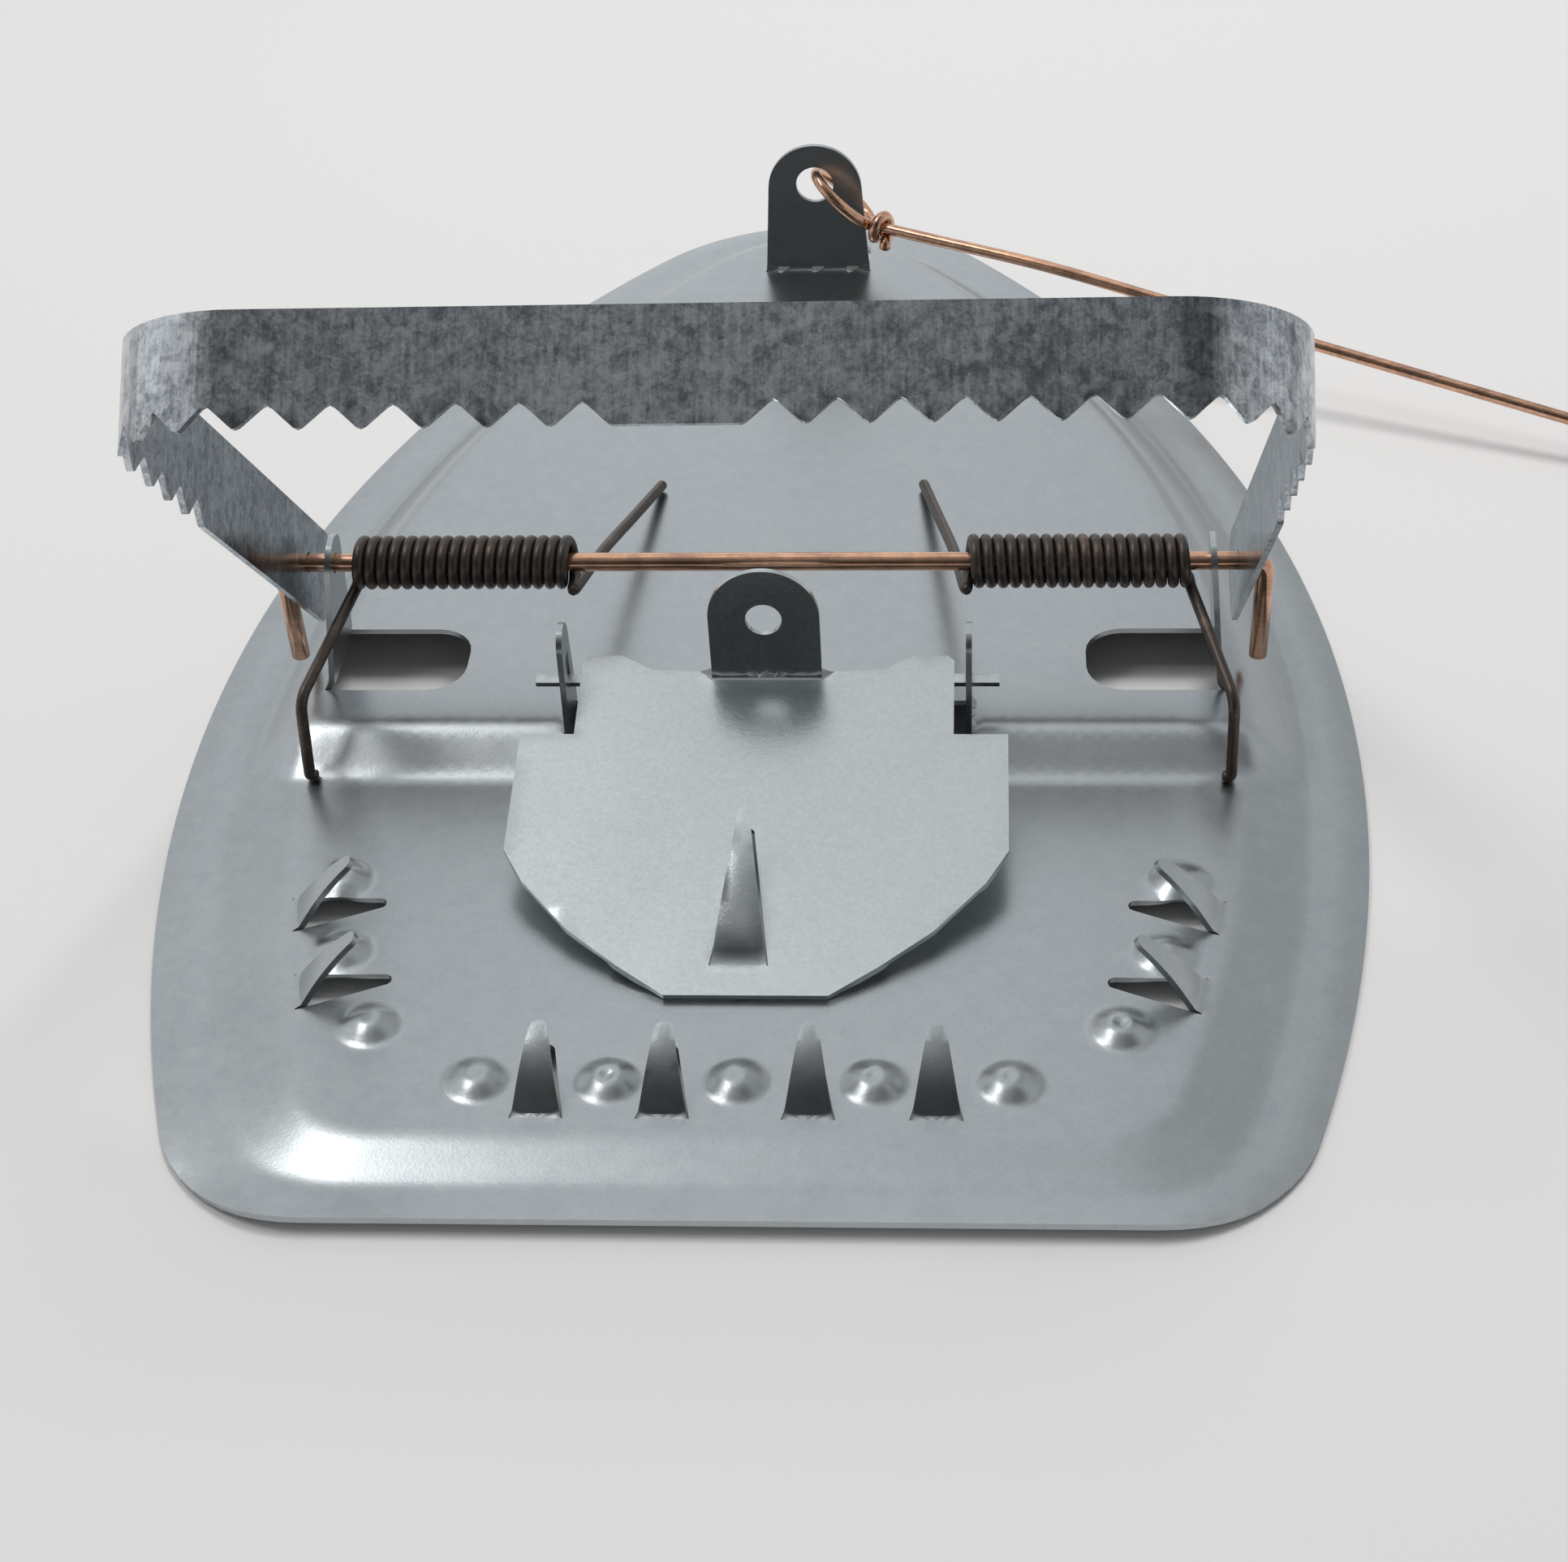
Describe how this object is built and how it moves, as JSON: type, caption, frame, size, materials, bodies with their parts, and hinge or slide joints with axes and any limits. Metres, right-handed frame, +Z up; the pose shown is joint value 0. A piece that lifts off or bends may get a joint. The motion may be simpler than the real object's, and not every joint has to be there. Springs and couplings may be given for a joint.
{
  "type": "snap trap",
  "caption": "Stamped steel mouse trap with a toothed U jaw on a wire axle, two torsion springs, a hinged bait plate and a wire trip rod.",
  "frame": {"origin": "underside of the flat rim at the middle of the front edge, on the surface the trap stands on", "axes": "+Z up, +Y from the front edge to the rear nose, +X to the right seen from the front"},
  "size_m": [0.1341, 0.151, 0.0597],
  "materials": {
    "galvanised_sheet": "satin zinc coat",
    "galvanised_strip": "spangled zinc coat",
    "galvanised_bait_plate": "fine grained zinc coat",
    "coppered_wire": "copper washed",
    "coppered_rod": "copper washed",
    "oiled_spring_wire": "dark oiled"
  },
  "bodies": {
    "base": {"base_plate": "galvanised_sheet", "axle": "coppered_wire", "spring_left": "oiled_spring_wire", "spring_right": "oiled_spring_wire"},
    "jaw": {"jaw": "galvanised_strip"},
    "bait": {"bait_plate": "galvanised_bait_plate"},
    "rod": {"trip_rod": "coppered_rod"}
  },
  "joints": [
    {"name": "jaw_hinge", "type": "hinge", "parent": "base", "child": "jaw", "pos_m": [0, 0.06097, 0.015], "axis": [1, 0, 0], "range_deg": [-132, 56.8]},
    {"name": "bait_pivot", "type": "hinge", "parent": "base", "child": "bait", "pos_m": [0, 0.05227, 0.0088], "axis": [-1, 0, 0], "range_deg": [0, 14]},
    {"name": "rod_swivel", "type": "hinge", "parent": "base", "child": "rod", "pos_m": [0.00344, 0.13205, 0.01299], "axis": [0, 0, 1], "range_deg": [-33, 60]}
  ]
}
